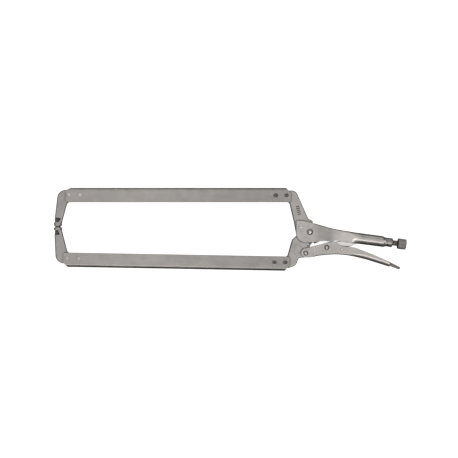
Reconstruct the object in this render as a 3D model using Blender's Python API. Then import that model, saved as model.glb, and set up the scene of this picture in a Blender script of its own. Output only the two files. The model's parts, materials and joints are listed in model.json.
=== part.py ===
"""Deep-throat locking C clamp, modelled piece by piece.

The clamp lies flat. The origin is the centre of the fixed jaw pad's contact face, +X runs down the
throat to the handles, +Y points from the moving jaw to the fixed jaw and +Z is the thickness.
Every length below is in millimetres; the helpers turn them into metres.
"""
import math

import bmesh
import bpy
from mathutils import Matrix, Vector

MM = 0.001

# --- driving dimensions -------------------------------------------------------------------------
SHEET = 2.5                 # folded steel of the rails and both handles
BODY_WIDTH = 16.0           # outside width of every folded channel
GAP = 0.3                   # running clearance between neighbouring pieces
SLOT = BODY_WIDTH - 2 * SHEET
FORGING = SLOT - 2 * GAP    # thickness of the four forged jaw pieces

RAIL_HEIGHT = 24.6
RAIL_LENGTH = 391.6
RAIL_BEND = 3.0
UPPER_RAIL_START = (12.0, 41.4)
LOWER_RAIL_START = (9.9, -46.1)
LOWER_RAIL_TILT = math.radians(-1.02)
RAIL_HOLES_AT = (7.4, 27.2, 365.2, 383.9)      # along a rail, from its jaw-tip end
UPPER_HOLE_HEIGHTS = (12.5, 12.5, 11.4, 11.4)  # from the rail's open edge
LOWER_HOLE_HEIGHTS = (9.9, 9.9, 10.2, 10.2)
RIVET_SHANK = 2.8
RAIL_RIVET_HEAD = 4.1
LEVER_RIVET_HEAD = 4.3
JAW_PIVOT_SHANK = 3.2
JAW_PIVOT_HEAD = 5.4
RELEASE_PIN_SHANK = 1.7
RELEASE_PIN_HEAD = 2.7
HEAD_DISH = 0.5             # how far a set rivet's middle lies below its rim

PAD_RADIUS = 6.9
PAD_FACE_RADIUS = 4.2
PAD_DEPTH = 6.6
TIP_WEB = 5.0               # steel left between the pockets behind a pad
PAD_GAP = 2.2               # daylight between the pads in the locked rest position

JAW_PIVOT = (436.3, -10.2)
JAW_BOSS = 10.0
LEVER_PIVOT = (428.9, -46.6)
LINK_PIVOT = (465.3, -36.9)
RELEASE_PIVOT = (490.9, -41.3)
FLUSH_RIVET = (420.9, -0.4)
FLUSH_RIVET_RADIUS = 3.6

LINK_THICKNESS = 6.0
RELEASE_THICKNESS = 8.4
HANDLE_BEND = 3.0           # outside radius of both handles' folds

SCREW_ORIGIN = Vector((523.5, -21.8, 0))       # a point on the adjusting screw's axis
SCREW_SLOPE = math.radians(-7.46)
TUBE_RADIUS = 9.4
BORE_RADIUS = 7.2
SCREW_RADIUS = 4.9
BUSH_RADIUS = 7.8
KNOB_RADIUS = 9.2
TUBE_FROM, NECK_FROM, TUBE_TO = -5.5, 40.2, 44.8   # along the screw axis from SCREW_ORIGIN
BUSH_TO = 56.5
KNOB_FROM, KNOB_TO = 65.4, 80.3
SCREW_TIP, SCREW_END = 5.0, 76.7

HOOK_HOLE = (433.8, -31.6)
HOOK_LAND = 4.0             # moving jaw's thickness round the hook hole
EAR_THICKNESS = 2.2         # of the handle's ear that holds the spring's rear hook
SPRING_ANCHOR = (478.0, -12.5)
HOOK_HOLE_RADIUS = 1.5
WIRE_RADIUS = 0.55
COIL_RADIUS = 3.2
COIL_TURNS = 15
COIL_FROM, COIL_TO = 9.5, 42.0                 # along the spring, from the jaw's hook hole

ROUND_SIDES = 24
ARC_STEP = 12.0             # degrees of arc per facet in outlines


# --- materials ----------------------------------------------------------------------------------
def finish(name, colour, roughness, metallic=1.0):
    material = bpy.data.materials.new(name)
    material.use_nodes = True
    shader = material.node_tree.nodes["Principled BSDF"]
    shader.inputs["Base Color"].default_value = (*colour, 1.0)
    shader.inputs["Roughness"].default_value = roughness
    shader.inputs["Metallic"].default_value = metallic
    return material


# --- outlines -----------------------------------------------------------------------------------
def rounded(corners):
    """Closed outline from (x, y, fillet radius) corners; each fillet is a tangent arc."""
    outline = []
    for index, (x, y, radius) in enumerate(corners):
        here = Vector((x, y))
        if radius == 0:
            outline.append(here)
            continue
        back = (Vector(corners[index - 1][:2]) - here).normalized()
        ahead = (Vector(corners[(index + 1) % len(corners)][:2]) - here).normalized()
        half = back.angle(ahead) / 2
        turn = math.pi - 2 * half
        side = 1 if back.cross(ahead) < 0 else -1
        centre = here + (back + ahead).normalized() * (radius / math.sin(half))
        spoke = here + back * (radius / math.tan(half)) - centre
        steps = max(1, math.ceil(math.degrees(turn) / ARC_STEP))
        for step in range(steps + 1):
            outline.append(centre + Matrix.Rotation(side * turn * step / steps, 2) @ spoke)
    shortest = 0.02
    return [point for point, before in zip(outline, [outline[-1]] + outline)
            if (point - before).length > shortest]


def one_side(line, side):
    """Test for points above (+1) or below (-1) a polyline of rising x, between its ends."""
    def test(point):
        for (x0, y0), (x1, y1) in zip(line, line[1:]):
            if x0 < point.x <= x1:
                return side * (point.y - y0 - (y1 - y0) * (point.x - x0) / (x1 - x0)) > 0
        return False
    return test


def circle(centre, radius, sides=ROUND_SIDES):
    spin = 2 * math.pi / sides
    return [Vector((centre[0] + radius * math.cos(spin * i), centre[1] + radius * math.sin(spin * i)))
            for i in range(sides)]


# --- solids -------------------------------------------------------------------------------------
def add_object(name, mesh_builder, material, origin=(0, 0, 0), frame=Matrix.Identity(4)):
    """Turn a bmesh in millimetres into a named object whose origin is at the given point."""
    mesh_builder.transform(Matrix.Translation(-Vector(origin)) @ frame)
    mesh_builder.transform(Matrix.Scale(MM, 4))
    mesh_builder.normal_update()
    bmesh.ops.recalc_face_normals(mesh_builder, faces=mesh_builder.faces)
    mesh = bpy.data.meshes.new(name)
    mesh_builder.to_mesh(mesh)
    mesh_builder.free()
    mesh.shade_smooth()
    mesh.set_sharp_from_angle(angle=math.radians(35))
    body = bpy.data.objects.new(name, mesh)
    body.location = Vector(origin) * MM
    bpy.context.scene.collection.objects.link(body)
    if material:
        mesh.materials.append(material)
    return body


def extruded(outline, low, high, fold=None, fold_radius=0.0):
    """Prism of an XY outline from z = low to high; fold picks outline points whose rims are rounded."""
    work = bmesh.new()
    base = work.faces.new([work.verts.new((p.x, p.y, low)) for p in outline])
    grown = bmesh.ops.extrude_face_region(work, geom=[base])["geom"]
    bmesh.ops.translate(work, verts=[v for v in grown if isinstance(v, bmesh.types.BMVert)],
                        vec=(0, 0, high - low))
    if fold:
        rims = [e for e in work.edges
                if abs(e.verts[0].co.z - e.verts[1].co.z) < 1e-6 and all(fold(v.co) for v in e.verts)]
        bmesh.ops.bevel(work, geom=rims, offset=fold_radius, segments=3, profile=0.5, affect="EDGES")
    return work


def plate(name, outline, thickness, material, origin=(0, 0), **fold):
    work = extruded(outline, -thickness / 2, thickness / 2, **fold)
    return add_object(name, work, material, (*origin, 0))


def turned(name, profile, material, frame=Matrix.Identity(4), ring=False, origin=(0, 0, 0)):
    """Solid of revolution about the frame's Z axis from (radius, height) points."""
    work = bmesh.new()
    points = [work.verts.new((radius, 0, height)) for radius, height in profile]
    edges = [work.edges.new(pair) for pair in zip(points, points[1:])]
    if ring:
        edges.append(work.edges.new((points[-1], points[0])))
    bmesh.ops.spin(work, geom=points + edges, axis=(0, 0, 1), cent=(0, 0, 0), angle=2 * math.pi,
                   steps=ROUND_SIDES, use_merge=True)
    bmesh.ops.remove_doubles(work, verts=work.verts, dist=1e-4)
    return add_object(name, work, material, origin, frame)


def combine(body, other, operation):
    """Boolean with a hidden helper solid."""
    other.hide_render = True
    other.display_type = "WIRE"
    change = body.modifiers.new(other.name, "BOOLEAN")
    change.operation = operation
    change.solver = "EXACT"
    change.object = other


def cut_prism(body, name, outline, low, high):
    combine(body, add_object(name, extruded(outline, low, high), None), "DIFFERENCE")


def cut_hole(body, centre, radius):
    name = f"{body.name}.hole_{len(body.modifiers)}"
    cut_prism(body, name, circle(centre, radius), -BODY_WIDTH, BODY_WIDTH)


def rivet(name, centre, shank, head, reach, material, dish=0.0, crown=1.0):
    """Headed pin through the channel walls; the head may be dished like a set rivet."""
    inner = reach + GAP
    outer = inner + crown
    upper = [(head, inner), (head, inner + 0.45 * crown), (0.72 * head, outer), (0, outer - dish)]
    profile = [(radius, -height) for radius, height in reversed(upper)] + [(shank, -inner)]
    profile += [(shank, inner)] + upper
    frame = Matrix.Translation((*centre, 0))
    return turned(name, profile, material, frame, origin=(*centre, 0))


# --- rails --------------------------------------------------------------------------------------
def rail_frame(start, tilt, flip):
    mirror = Matrix.Diagonal((1, -1, 1, 1)) if flip else Matrix.Identity(4)
    return Matrix.Translation((*start, 0)) @ Matrix.Rotation(tilt, 4, "Z") @ mirror


def rail_point(frame, along, height):
    point = frame @ Vector((along, height, 0))
    return point.x, point.y


def rail(name, frame, hole_heights, material, origin=(0, 0)):
    """Channel folded along its outer edge, corners clipped, open towards the throat."""
    half = BODY_WIDTH / 2
    wall = half - SHEET
    top = RAIL_HEIGHT
    section = rounded([(-half, 0, 0), (-half, top, RAIL_BEND), (half, top, RAIL_BEND), (half, 0, 0),
                       (wall, 0, 0), (wall, top - SHEET, 0.5), (-wall, top - SHEET, 0.5),
                       (-wall, 0, 0)])
    stand_up = Matrix(((0, 0, 1, 0), (0, 1, 0, 0), (-1, 0, 0, 0), (0, 0, 0, 1)))
    body = add_object(name, extruded(section, 0, RAIL_LENGTH), material, (*origin, 0), frame @ stand_up)
    clip = [(-2, -3.6), (0, -3.6), (1.7, -1.9), (6.1, 0), (6.1, 2), (-2, 2)]
    for end, direction in ((0, 1), (RAIL_LENGTH, -1)):
        corner = [Vector(rail_point(frame, end + direction * x, top + y)) for x, y in clip]
        cut_prism(body, f"{name}.clip_{direction}", corner, -BODY_WIDTH, BODY_WIDTH)
    for along, height in zip(RAIL_HOLES_AT, hole_heights):
        cut_hole(body, rail_point(frame, along, height), RIVET_SHANK + GAP)
    return body


def rail_rivets(prefix, frame, hole_heights, material, origin=(0, 0)):
    centres = [rail_point(frame, along, height) for along, height in zip(RAIL_HOLES_AT, hole_heights)]
    for index, centre in enumerate(centres, 1):
        rivet(f"{prefix}_{index}", centre, RIVET_SHANK, RAIL_RIVET_HEAD, BODY_WIDTH / 2, material)
    return centres


# --- forged jaws --------------------------------------------------------------------------------
def jaw_tip(name, corners, pad_face, backing, pocket, holes, material, origin=(0, 0)):
    """Forged arm with a round pad; backing is the side (+1 or -1 along Y) of the pad's arm."""
    body = plate(name, rounded(corners), FORGING, material, origin)
    for side in (-1, 1):
        low, high = sorted((side * TIP_WEB / 2, side * BODY_WIDTH))
        cut_prism(body, f"{name}.pocket_{side}", rounded(pocket), low, high)
    profile = [(0, 0), (PAD_FACE_RADIUS, 0), (PAD_RADIUS, 2.0), (PAD_RADIUS, 5.2),
               (PAD_RADIUS - 1.0, PAD_DEPTH), (0, PAD_DEPTH)]
    look = Matrix.Rotation(math.radians(-90 * backing), 4, "X")
    pad = turned(f"{name}.pad", profile, None, Matrix.Translation((0, pad_face, 0)) @ look)
    combine(body, pad, "UNION")
    for centre in holes:
        cut_hole(body, centre, RIVET_SHANK + GAP)
    return body


def upper_jaw_tip(holes, material):
    corners = [(52.0, 62.8, 2), (-1.5, 62.8, 12), (-5.2, 12.0, 0), (-4.6, 4.0, 0), (6.0, 4.0, 0),
               (16.4, 42.3, 8), (52.0, 42.3, 2)]
    pocket = [(-9.0, 15.2, 0), (5.9, 13.6, 0.5), (2.1, 7.1, 0.5), (-9.0, 7.1, 0)]
    return jaw_tip("upper_jaw_tip", corners, 0.0, 1, pocket, holes, material)


def lower_jaw_tip(holes, material):
    pocket_top = -7.3 - PAD_GAP
    pocket = [(-9.0, pocket_top, 0), (1.4, pocket_top, 0.5), (4.0, -15.0, 0.5), (-9.0, -15.8, 0)]
    corners = [(52.0, -47.0, 2), (16.4, -46.4, 6), (6.2, -6.2, 0), (-4.6, -6.2, 0), (-5.5, -16.0, 0),
               (-4.6, -64.6, 13), (52.0, -66.4, 2)]
    return jaw_tip("lower_jaw_tip", corners, -PAD_GAP, -1, pocket, holes, material, JAW_PIVOT)


def fixed_jaw(holes, material):
    corners = [(362.0, 61.9, 2), (362.0, 42.3, 2), (400.6, 42.3, 6.5), (408.9, 7.0, 20),
               (413.4, -16.4, 0.5), (426.5, -12.6, 0), (441.4, -5.0, 0), (441.4, 8.6, 1),
               (434.6, 12.4, 1.5), (412.7, 61.0, 7)]
    body = plate("fixed_jaw", rounded(corners), FORGING, material)
    cut_hole(body, JAW_PIVOT, JAW_BOSS + 0.4)
    cut_hole(body, FLUSH_RIVET, FLUSH_RIVET_RADIUS + GAP)
    for centre in holes:
        cut_hole(body, centre, RIVET_SHANK + GAP)
    return body


def moving_jaw(holes, material):
    boss_left, boss_right = JAW_PIVOT[0] - JAW_BOSS, JAW_PIVOT[0] + JAW_BOSS
    boss_top = JAW_PIVOT[1] + JAW_BOSS
    corners = [(413.1, -17.2, 0.5), (405.6, -23.8, 9), (399.3, -46.0, 0), (397.6, -53.6, 6),
               (361.0, -53.3, 2), (361.0, -73.0, 2), (400.5, -73.0, 4), (412.6, -67.2, 5),
               (417.6, -55.0, 4), (435.9, -53.6, 7), (435.9, -36.0, 2), (439.4, -30.0, 1.5),
               (439.4, -20.5, 3),
               (boss_right, -16.0, 4), (boss_right, boss_top, JAW_BOSS),
               (boss_left, boss_top, JAW_BOSS), (426.6, -13.2, 0)]
    body = plate("moving_jaw", rounded(corners), FORGING, material, JAW_PIVOT)
    recess = rounded([(431.0, -35.0, 1), (448.0, -35.0, 0), (448.0, -22.0, 0), (434.0, -24.0, 2)])
    for side in (-1, 1):
        low, high = sorted((side * HOOK_LAND / 2, side * BODY_WIDTH))
        cut_prism(body, f"moving_jaw.recess_{side}", recess, low, high)
    cut_hole(body, HOOK_HOLE, HOOK_HOLE_RADIUS)
    cut_hole(body, JAW_PIVOT, JAW_PIVOT_SHANK + GAP)
    cut_hole(body, LEVER_PIVOT, RIVET_SHANK + GAP)
    for centre in holes:
        cut_hole(body, centre, RIVET_SHANK + GAP)
    return body


# --- fixed handle, screw and knob ---------------------------------------------------------------
def screw_frame():
    """Z runs out along the adjusting screw, from SCREW_ORIGIN."""
    return (Matrix.Translation(SCREW_ORIGIN) @ Matrix.Rotation(SCREW_SLOPE, 4, "Z")
            @ Matrix.Rotation(math.radians(90), 4, "Y"))


def fixed_handle(material):
    """Two cheeks round the jaws, folded over into a channel and closed to a tube for the screw."""
    spine = [(524.0, -12.2, 0), (470.0, -3.9, 300), (430.0, 8.9, 40), (412.9, 9.9, 1)]
    belly = [(412.9, -28.3, 16), (449.0, -27.7, 10), (460.0, -25.7, 20), (487.0, -25.5, 10),
             (512.0, -28.5, 0), (520.0, -31.6, 0)]
    fold_from = 442.0
    mid_line = [(fold_from + 3, -7.5), (523.0, -21.5)]
    body = plate("fixed_handle", rounded(spine + belly), BODY_WIDTH, material,
                 fold=one_side(mid_line, 1), fold_radius=HANDLE_BEND)
    tube = [(0, TUBE_FROM), (TUBE_RADIUS, TUBE_FROM), (TUBE_RADIUS, NECK_FROM),
            (BUSH_RADIUS, TUBE_TO), (0, TUBE_TO)]
    combine(body, turned("fixed_handle.tube", tube, None, screw_frame()), "UNION")
    inside = rounded([(519.0, -14.1, 0), (470.0, -6.5, 200), (fold_from, 2.7, 0), (fold_from, 20, 0),
                      (400.0, 20, 0), (400.0, -45, 0), (519.0, -45, 0)])
    cut_prism(body, "fixed_handle.channel", inside, -SLOT / 2, SLOT / 2)
    bore_from, bore_to = TUBE_FROM - 2, TUBE_TO + 2
    bore = [(0, bore_from), (BORE_RADIUS, bore_from), (BORE_RADIUS, bore_to), (0, bore_to)]
    combine(body, turned("fixed_handle.bore", bore, None, screw_frame()), "DIFFERENCE")
    link_way = rounded([(514.0, -45, 0), (527.0, -45, 0), (527.0, -22, 0), (514.0, -22, 0)])
    half_way = LINK_THICKNESS / 2 + 2 * GAP
    cut_prism(body, "fixed_handle.link_way", link_way, -half_way, half_way)
    ear = rounded([(474.6, -6.0, 0), (474.6, -15.6, 2.5), (481.2, -15.6, 2.5), (481.2, -6.0, 0)])
    ear_solid = extruded(ear, -EAR_THICKNESS / 2, EAR_THICKNESS / 2)
    combine(body, add_object("fixed_handle.spring_ear", ear_solid, None), "UNION")
    cut_hole(body, SPRING_ANCHOR, HOOK_HOLE_RADIUS)
    cut_hole(body, JAW_PIVOT, JAW_PIVOT_SHANK + GAP)
    cut_hole(body, FLUSH_RIVET, FLUSH_RIVET_RADIUS + GAP)
    return body


def screw_pieces(bush_material, screw_material):
    bore = SCREW_RADIUS + GAP
    spigot = BORE_RADIUS - GAP
    seat = TUBE_TO + GAP
    bush = [(bore, 36.0), (spigot, 36.0), (spigot, seat), (BUSH_RADIUS, seat),
            (BUSH_RADIUS, BUSH_TO - 0.9), (BUSH_RADIUS - 0.9, BUSH_TO), (bore, BUSH_TO)]
    turned("threaded_bush", bush, bush_material, screw_frame(), ring=True, origin=SCREW_ORIGIN)
    screw = [(0, SCREW_TIP), (SCREW_RADIUS - 1, SCREW_TIP), (SCREW_RADIUS, SCREW_TIP + 1),
             (SCREW_RADIUS, SCREW_END), (0, SCREW_END)]
    turned("adjusting_screw", screw, screw_material, screw_frame(), origin=SCREW_ORIGIN)
    blind_end = SCREW_END + GAP
    knob = [(0, blind_end), (bore, blind_end), (bore, KNOB_FROM), (KNOB_RADIUS - 1, KNOB_FROM),
            (KNOB_RADIUS, KNOB_FROM + 1), (KNOB_RADIUS, KNOB_TO - 1.6), (KNOB_RADIUS - 1.3, KNOB_TO),
            (0, KNOB_TO)]
    turned("adjusting_knob", knob, screw_material, screw_frame(), origin=SCREW_ORIGIN)


# --- lever, link and release lever --------------------------------------------------------------
def lever_handle(material):
    """Channel folded along its underside, with two ears round the moving jaw."""
    ear = 7.8
    x, y = LEVER_PIVOT
    back = [(456.0, -50.4, 60), (492.0, -48.8, 130), (530.0, -56.4, 200), (574.0, -70.6, 1)]
    front = [(574.4, -61.9, 1), (523.0, -40.3, 60), (514.0, -36.8, 10), (491.0, -35.7, 12),
             (483.0, -32.4, 4), (478.6, -27.1, 1.5), (470.0, -28.7, 40), (444.0, -34.9, 40)]
    corners = [(x - ear, y - ear, ear), (440.0, y - ear, 15)] + back + front + [(x - ear, y + ear, ear)]
    fold_from = 440.5
    mid_line = [(fold_from + 3, -42.0), (492.0, -44.0), (573.0, -65.1)]
    body = plate("lever_handle", rounded(corners), BODY_WIDTH, material, LEVER_PIVOT,
                 fold=one_side(mid_line, -1), fold_radius=HANDLE_BEND)
    wall_rise = SHEET * 1.05    # a wall's height in Y where the handle runs at a slant
    floor = [(fold_from, -54.2 + SHEET, 0)] + [(px, py + wall_rise, r) for px, py, r in back[:-1]]
    floor += [(580.0, -72.6 + wall_rise, 0)]
    inside = rounded([(415.0, -20, 0), (415.0, -62, 0), (fold_from, -62, 0)] + floor + [(580.0, -20, 0)])
    cut_prism(body, "lever_handle.channel", inside, -SLOT / 2, SLOT / 2)
    cut_hole(body, LEVER_PIVOT, RIVET_SHANK + GAP)
    cut_hole(body, LINK_PIVOT, RIVET_SHANK + GAP)
    cut_hole(body, RELEASE_PIVOT, RELEASE_PIN_SHANK + GAP)
    return body


def toggle_link(material):
    """Strut from the lever's rivet to the end of the adjusting screw."""
    eye = 6.2
    x, y = LINK_PIVOT
    corners = [(x - eye, y + eye, eye), (x - eye, y - eye, eye), (x + 3, y - eye, 4), (484.0, -36.6, 25),
               (504.0, -36.0, 9), (518.8, -30.4, 5), (518.2, -18.6, 5), (x + 2, y + eye, 4)]
    body = plate("toggle_link", rounded(corners), LINK_THICKNESS, material, LINK_PIVOT)
    cut_hole(body, LINK_PIVOT, RIVET_SHANK + GAP)
    return body


def release_lever(material):
    """Arm inside the lever; its tail shows beyond the lever's end."""
    x, y = RELEASE_PIVOT
    eye = 3.5
    corners = [(x - eye, y - eye, eye), (498.0, -46.6, 10), (530.0, -53.7, 60), (574.7, -67.3, 0),
               (575.5, -69.2, 0), (590.6, -75.5, 3), (594.2, -71.8, 2.2), (575.0, -62.5, 30),
               (523.0, -42.2, 60), (510.0, -39.0, 10), (499.0, -38.3, 5), (x - eye, y + eye, eye)]
    body = plate("release_lever", rounded(corners), RELEASE_THICKNESS, material, RELEASE_PIVOT)
    cut_hole(body, RELEASE_PIVOT, RELEASE_PIN_SHANK + GAP)
    return body


# --- return spring ------------------------------------------------------------------------------
def return_spring(material):
    """Extension spring: a hook through the moving jaw, a close helix, a hook in the handle's ear."""
    start = Vector((*HOOK_HOLE, 0))
    along = Vector((*SPRING_ANCHOR, 0)) - start
    length = along.length
    along.normalize()
    across = Vector((-along.y, along.x, 0))
    front, rear = 3.1, 2.2
    route = [(2.6, 0, -front), (0.7, 0, -front), (0.1, 0, -front + 0.6), (0, 0, 0),
             (0.1, 0, front - 0.6), (0.7, 0, front), (COIL_FROM - 1.5, 0, COIL_RADIUS)]
    per_turn = 10
    for step in range(COIL_TURNS * per_turn + 1):
        share = step / (COIL_TURNS * per_turn)
        angle = 2 * math.pi * step / per_turn
        route.append((COIL_FROM + share * (COIL_TO - COIL_FROM),
                      COIL_RADIUS * math.sin(angle), COIL_RADIUS * math.cos(angle)))
    route += [(length - 4.5, 0, rear + 0.3), (length - 0.7, 0, rear), (length - 0.1, 0, rear - 0.6),
              (length, 0, 0), (length - 0.1, 0, -rear + 0.6), (length - 0.7, 0, -rear),
              (length - 2.4, 0, -rear)]
    curve = bpy.data.curves.new("return_spring", "CURVE")
    curve.dimensions = "3D"
    curve.bevel_depth = WIRE_RADIUS * MM
    curve.bevel_resolution = 1
    curve.use_fill_caps = True
    curve.materials.append(material)
    spline = curve.splines.new("POLY")
    spline.points.add(len(route) - 1)
    for point, (u, v, w) in zip(spline.points, route):
        point.co = (*((start + along * u + across * v + Vector((0, 0, w))) * MM), 1.0)
    spring = bpy.data.objects.new("return_spring", curve)
    bpy.context.scene.collection.objects.link(spring)
    return spring


def build():
    for leftover in list(bpy.data.objects):
        bpy.data.objects.remove(leftover, do_unlink=True)

    plated = finish("nickel_plated_sheet", (0.33, 0.30, 0.28), 0.38)
    forged = finish("nickel_plated_forging", (0.36, 0.34, 0.32), 0.45)
    bright = finish("bright_link", (0.60, 0.58, 0.55), 0.30)
    rivet_steel = finish("rivet_steel", (0.42, 0.40, 0.38), 0.35)
    screw_steel = finish("screw_steel", (0.16, 0.14, 0.13), 0.35)
    dark_steel = finish("dark_steel", (0.12, 0.11, 0.10), 0.45)

    upper = rail_frame(UPPER_RAIL_START, 0.0, False)
    lower = rail_frame(LOWER_RAIL_START, LOWER_RAIL_TILT, True)
    rail("upper_rail", upper, UPPER_HOLE_HEIGHTS, plated)
    rail("lower_rail", lower, LOWER_HOLE_HEIGHTS, plated, JAW_PIVOT)
    upper_holes = rail_rivets("upper_rail_rivet", upper, UPPER_HOLE_HEIGHTS, rivet_steel)
    lower_holes = rail_rivets("lower_rail_rivet", lower, LOWER_HOLE_HEIGHTS, rivet_steel)

    upper_jaw_tip(upper_holes[:2], forged)
    lower_jaw_tip(lower_holes[:2], forged)
    fixed_jaw(upper_holes[2:], forged)
    moving_jaw(lower_holes[2:], forged)

    fixed_handle(plated)
    screw_pieces(rivet_steel, screw_steel)
    lever_handle(plated)
    toggle_link(bright)
    release_lever(dark_steel)
    return_spring(dark_steel)

    wall = BODY_WIDTH / 2
    rivet("jaw_pivot_rivet", JAW_PIVOT, JAW_PIVOT_SHANK, JAW_PIVOT_HEAD, wall, rivet_steel,
          dish=HEAD_DISH, crown=1.1)
    rivet("lever_pivot_rivet", LEVER_PIVOT, RIVET_SHANK, LEVER_RIVET_HEAD, wall, rivet_steel,
          dish=HEAD_DISH)
    rivet("link_pivot_rivet", LINK_PIVOT, RIVET_SHANK, LEVER_RIVET_HEAD, wall, rivet_steel,
          dish=HEAD_DISH)
    rivet("release_lever_pin", RELEASE_PIVOT, RELEASE_PIN_SHANK, RELEASE_PIN_HEAD, wall, rivet_steel,
          crown=0.6)
    flush = wall + 0.1
    profile = [(0, -flush), (FLUSH_RIVET_RADIUS, -flush), (FLUSH_RIVET_RADIUS, flush), (0, flush)]
    place = Matrix.Translation((*FLUSH_RIVET, 0))
    turned("fixed_jaw_rivet", profile, rivet_steel, place, origin=(*FLUSH_RIVET, 0))


build()
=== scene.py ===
"""Deep-throat locking C clamp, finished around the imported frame.

Lengths in the shape functions are millimetres in the clamp's own frame: the origin is the centre of
the fixed jaw pad's face, +X runs to the handles, +Y from the moving jaw to the fixed jaw, +Z up.
"""
import json
import math

import bmesh
import bpy
from mathutils import Matrix, Vector

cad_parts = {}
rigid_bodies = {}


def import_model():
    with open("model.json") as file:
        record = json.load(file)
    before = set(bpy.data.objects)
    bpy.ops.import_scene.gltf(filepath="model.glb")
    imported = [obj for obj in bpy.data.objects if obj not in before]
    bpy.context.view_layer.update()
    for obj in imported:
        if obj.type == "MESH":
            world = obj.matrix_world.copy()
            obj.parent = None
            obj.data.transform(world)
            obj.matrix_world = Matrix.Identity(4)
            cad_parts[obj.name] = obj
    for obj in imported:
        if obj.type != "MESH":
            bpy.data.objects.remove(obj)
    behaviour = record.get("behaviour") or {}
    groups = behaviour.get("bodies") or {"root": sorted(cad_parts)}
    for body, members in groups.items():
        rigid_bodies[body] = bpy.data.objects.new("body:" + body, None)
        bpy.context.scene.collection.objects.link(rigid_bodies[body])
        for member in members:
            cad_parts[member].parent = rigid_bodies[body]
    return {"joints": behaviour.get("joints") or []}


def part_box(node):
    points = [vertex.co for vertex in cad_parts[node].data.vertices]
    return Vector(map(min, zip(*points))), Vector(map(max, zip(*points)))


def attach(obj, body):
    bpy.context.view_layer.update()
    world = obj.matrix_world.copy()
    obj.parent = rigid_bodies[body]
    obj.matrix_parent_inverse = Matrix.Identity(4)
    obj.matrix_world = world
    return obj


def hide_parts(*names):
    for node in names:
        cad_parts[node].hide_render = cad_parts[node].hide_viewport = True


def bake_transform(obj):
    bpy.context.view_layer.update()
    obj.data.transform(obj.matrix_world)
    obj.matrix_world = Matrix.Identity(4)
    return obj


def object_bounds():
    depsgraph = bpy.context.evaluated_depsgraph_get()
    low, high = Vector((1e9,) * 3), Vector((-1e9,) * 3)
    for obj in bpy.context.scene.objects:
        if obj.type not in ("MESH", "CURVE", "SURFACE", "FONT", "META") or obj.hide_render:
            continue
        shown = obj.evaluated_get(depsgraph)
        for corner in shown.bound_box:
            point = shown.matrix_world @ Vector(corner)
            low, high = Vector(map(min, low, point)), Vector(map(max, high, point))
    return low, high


for leftover in list(bpy.data.objects):
    bpy.data.objects.remove(leftover, do_unlink=True)

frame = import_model()
cad_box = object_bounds()

MM = 0.001
IDENTITY = Matrix.Identity(4)
JOINTS = {joint["name"]: joint for joint in frame["joints"]}


def joint_point(name):
    return Vector(JOINTS[name]["pos_m"]) / MM


def node_box(node):
    low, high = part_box(node)
    return low / MM, high / MM


def node_centre(node):
    low, high = node_box(node)
    return (low + high) / 2


JAW_PIVOT = joint_point("jaw_open")
LEVER_PIVOT = joint_point("lever_swing")
LINK_PIVOT = joint_point("link_swing")
RELEASE_PIVOT = joint_point("release_lift")
SCREW_ORIGIN = joint_point("knob_turn")
SCREW_AXIS = Vector(JOINTS["knob_turn"]["axis"]).normalized()
PAD_GAP = -node_box("lower_jaw_tip")[1].y
RAIL_LOW, RAIL_HIGH = node_box("upper_rail")
HALF_WIDTH = RAIL_HIGH.z            # of the folded channels
FORGING = node_box("fixed_jaw")[1].z * 2
SHEET = 2.5
MARK_DEPTH = 0.6
FLOOR = node_box("fixed_handle")[0].z
LOWER_TILT = math.radians(1.02)     # of the lower rail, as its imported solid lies
PAD_ADVANCE = 1.05                  # of each pad past its packed face, which leaves a 0.1 mm gap


# --- shader expressions -------------------------------------------------------------------------
class Term:
    """A socket in a material; arithmetic on it adds Math nodes."""

    def __init__(self, finish, socket):
        self.finish = finish
        self.socket = socket

    def _maths(self, operation, first, second):
        return self.finish.node("ShaderNodeMath", {"operation": operation}, {0: first, 1: second})

    def __add__(self, other):
        return self._maths("ADD", self, other)

    def __radd__(self, other):
        return self._maths("ADD", other, self)

    def __sub__(self, other):
        return self._maths("SUBTRACT", self, other)

    def __rsub__(self, other):
        return self._maths("SUBTRACT", other, self)

    def __mul__(self, other):
        return self._maths("MULTIPLY", self, other)

    def __rmul__(self, other):
        return self._maths("MULTIPLY", other, self)

    def above(self, edge, softness):
        """0 below edge, 1 above edge + softness."""
        settings = {"interpolation_type": "SMOOTHSTEP"}
        sockets = {"Value": self, "From Min": edge, "From Max": edge + softness}
        return self.finish.node("ShaderNodeMapRange", settings, sockets)


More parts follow.
